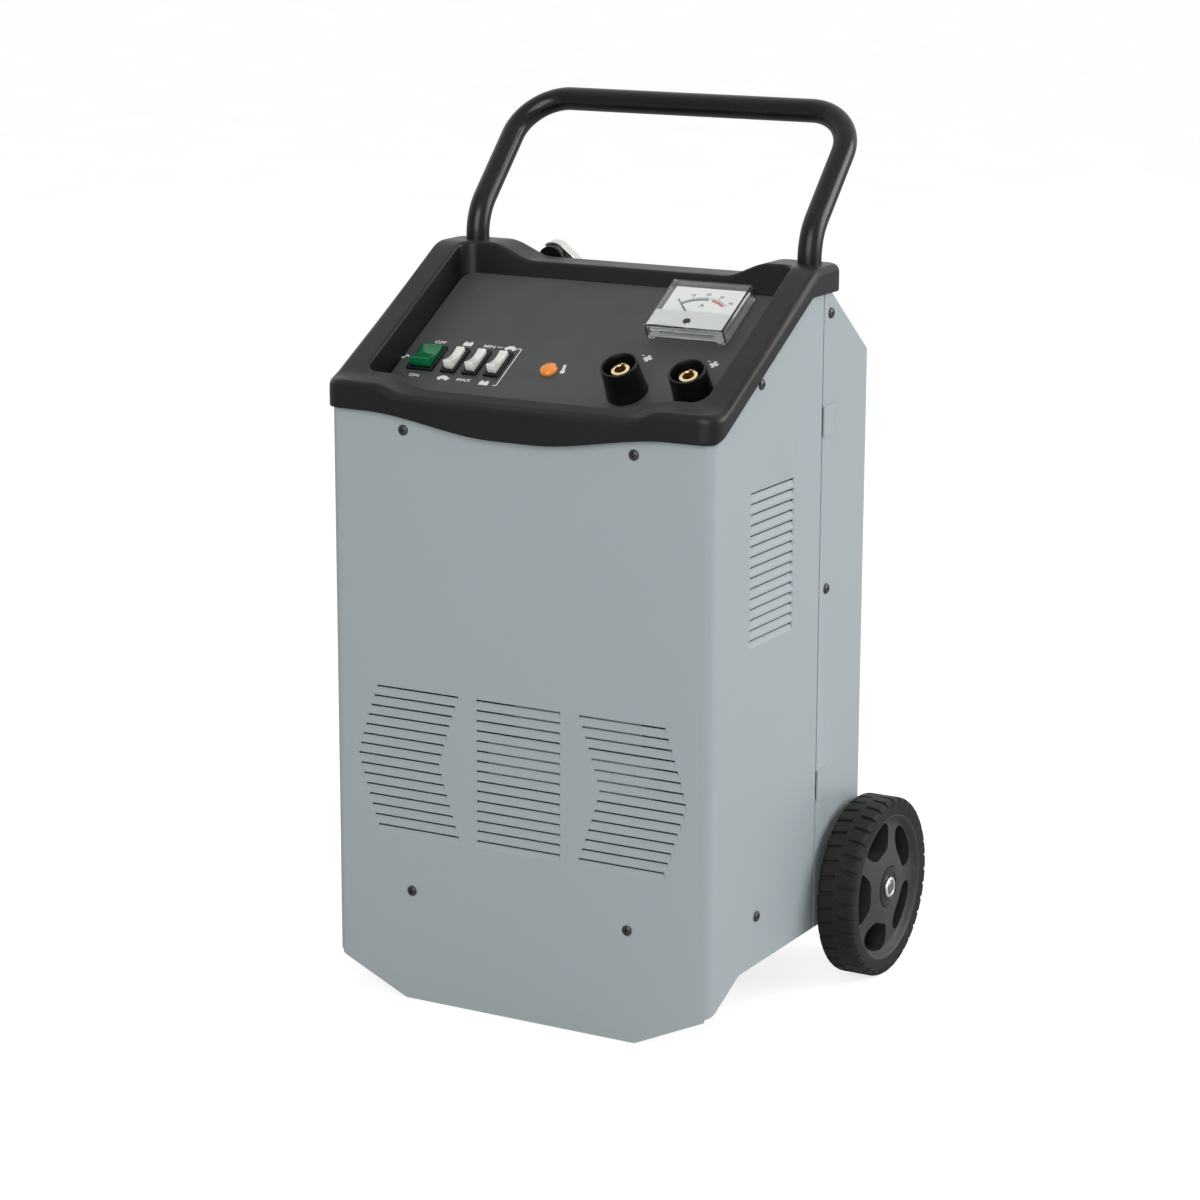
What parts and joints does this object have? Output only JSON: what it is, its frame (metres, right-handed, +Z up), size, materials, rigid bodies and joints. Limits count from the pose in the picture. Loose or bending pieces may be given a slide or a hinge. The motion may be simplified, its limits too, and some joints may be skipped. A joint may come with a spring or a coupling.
{
  "type": "wheeled battery charger and engine starter",
  "caption": "Upright wheeled battery charger and engine starter: louvred sheet cabinet, sunk sloping control panel with switches, meter and output sockets, and a bent tube handle.",
  "frame": {"origin": "bottom centre of the whole object's box, on the floor", "axes": "+Z up, -Y towards the user's side with the control panel's low edge, +X to the right seen from the front"},
  "size_m": [0.431, 0.3366, 0.7281],
  "materials": {
    "cabinet_paint": "smooth light blue-grey powder paint",
    "plated_sheet": "zinc plated",
    "black_moulding": "fine-grained black moulding",
    "panel_moulding": "satin charcoal",
    "black_tube": "semi-gloss black",
    "axle_steel": "plain drawn steel, darkened",
    "rim_moulding": "charcoal moulding",
    "tyre": "solid black tyre",
    "black_nylon": "black",
    "lamination_steel": "varnished laminations",
    "winding_wire": "varnished winding",
    "heat_sink_alloy": "extruded",
    "board": "laminated board",
    "cutout_body": "cream",
    "dial_white": "printed white",
    "needle_black": "black",
    "meter_clear": "clear moulding",
    "apron_grey": "light grey",
    "rocker_green": "translucent green",
    "rocker_white": "off-white",
    "lamp_orange": "translucent orange",
    "lamp_case": "cream",
    "socket_moulding": "black",
    "contact_brass": "turned brass",
    "black_screw": "blackened"
  },
  "bodies": {
    "cabinet": {"front_shell": "cabinet_paint", "rear_cover": "cabinet_paint", "base_tray": "plated_sheet", "top_bezel": "black_moulding", "control_panel": "panel_moulding", "handle_tube": "black_tube", "handle_spacers": "plated_sheet", "axle": "axle_steel", "wheel_spacers": "plated_sheet", "push_nuts": "plated_sheet", "transformer_core": "lamination_steel", "primary_winding": "winding_wire", "secondary_winding": "winding_wire", "transformer_brackets": "plated_sheet", "transformer_bolts": "plated_sheet", "heat_sink": "heat_sink_alloy", "rectifier_diodes": "plated_sheet", "rectifier_board": "board", "thermal_cutout": "cutout_body", "meter_case": "black_nylon", "meter_dial": "dial_white", "meter_cover": "meter_clear", "meter_apron": "apron_grey", "mains_switch_housing": "black_nylon", "charge_switch_housing": "black_nylon", "voltage_switch_housing": "black_nylon", "rate_switch_housing": "black_nylon", "lamp_lens": "lamp_orange", "lamp_body": "lamp_case", "right_socket_housing": "socket_moulding", "left_socket_housing": "socket_moulding", "right_socket_insert": "contact_brass", "left_socket_insert": "contact_brass", "socket_nuts": "contact_brass", "front_screws": "black_screw", "side_screws": "black_screw", "handle_screws": "black_screw", "rear_screws": "black_screw", "cable_gland": "black_nylon", "cable_hook": "plated_sheet", "hook_block": "black_nylon", "hook_rivets": "plated_sheet"},
    "wheel_left": {"rim_left": "rim_moulding", "tyre_left": "tyre", "bush_left": "black_nylon"},
    "wheel_right": {"rim_right": "rim_moulding", "tyre_right": "tyre", "bush_right": "black_nylon"},
    "mains_rocker": {"mains_rocker": "rocker_green"},
    "charge_rocker": {"charge_rocker": "rocker_white"},
    "voltage_rocker": {"voltage_rocker": "rocker_white"},
    "rate_rocker": {"rate_rocker": "rocker_white"},
    "meter_needle": {"meter_needle": "needle_black"},
    "meter_zero_screw": {"meter_zero_screw": "black_nylon"}
  },
  "joints": [
    {"name": "wheel_left_spin", "type": "hinge", "parent": "cabinet", "child": "wheel_left", "pos_m": [0, 0.09235, 0.076], "axis": [1, 0, 0], "continuous": true},
    {"name": "wheel_right_spin", "type": "hinge", "parent": "cabinet", "child": "wheel_right", "pos_m": [0, 0.09235, 0.076], "axis": [1, 0, 0], "continuous": true},
    {"name": "mains_rocker_tilt", "type": "hinge", "parent": "cabinet", "child": "mains_rocker", "pos_m": [-0.1284, -0.08648, 0.52305], "axis": [1, 0, 0], "range_deg": [0, 20]},
    {"name": "charge_rocker_tilt", "type": "hinge", "parent": "cabinet", "child": "charge_rocker", "pos_m": [-0.1016, -0.08648, 0.52305], "axis": [1, 0, 0], "range_deg": [0, 20]},
    {"name": "voltage_rocker_tilt", "type": "hinge", "parent": "cabinet", "child": "voltage_rocker", "pos_m": [-0.0812, -0.08648, 0.52305], "axis": [1, 0, 0], "range_deg": [0, 20]},
    {"name": "rate_rocker_tilt", "type": "hinge", "parent": "cabinet", "child": "rate_rocker", "pos_m": [-0.0608, -0.08648, 0.52305], "axis": [1, 0, 0], "range_deg": [0, 20]},
    {"name": "needle_swing", "type": "hinge", "parent": "cabinet", "child": "meter_needle", "pos_m": [0.0867, -0.03416, 0.56233], "axis": [0, 0.506, -0.8625], "range_deg": [0, 84], "stiffness_Nm_per_rad": 0.00002, "springref_deg": -11.46},
    {"name": "zero_screw_turn", "type": "hinge", "parent": "cabinet", "child": "meter_zero_screw", "pos_m": [0.0867, -0.04085, 0.56188], "axis": [0, -0.506, 0.8625], "range_deg": [-45, 45]}
  ]
}
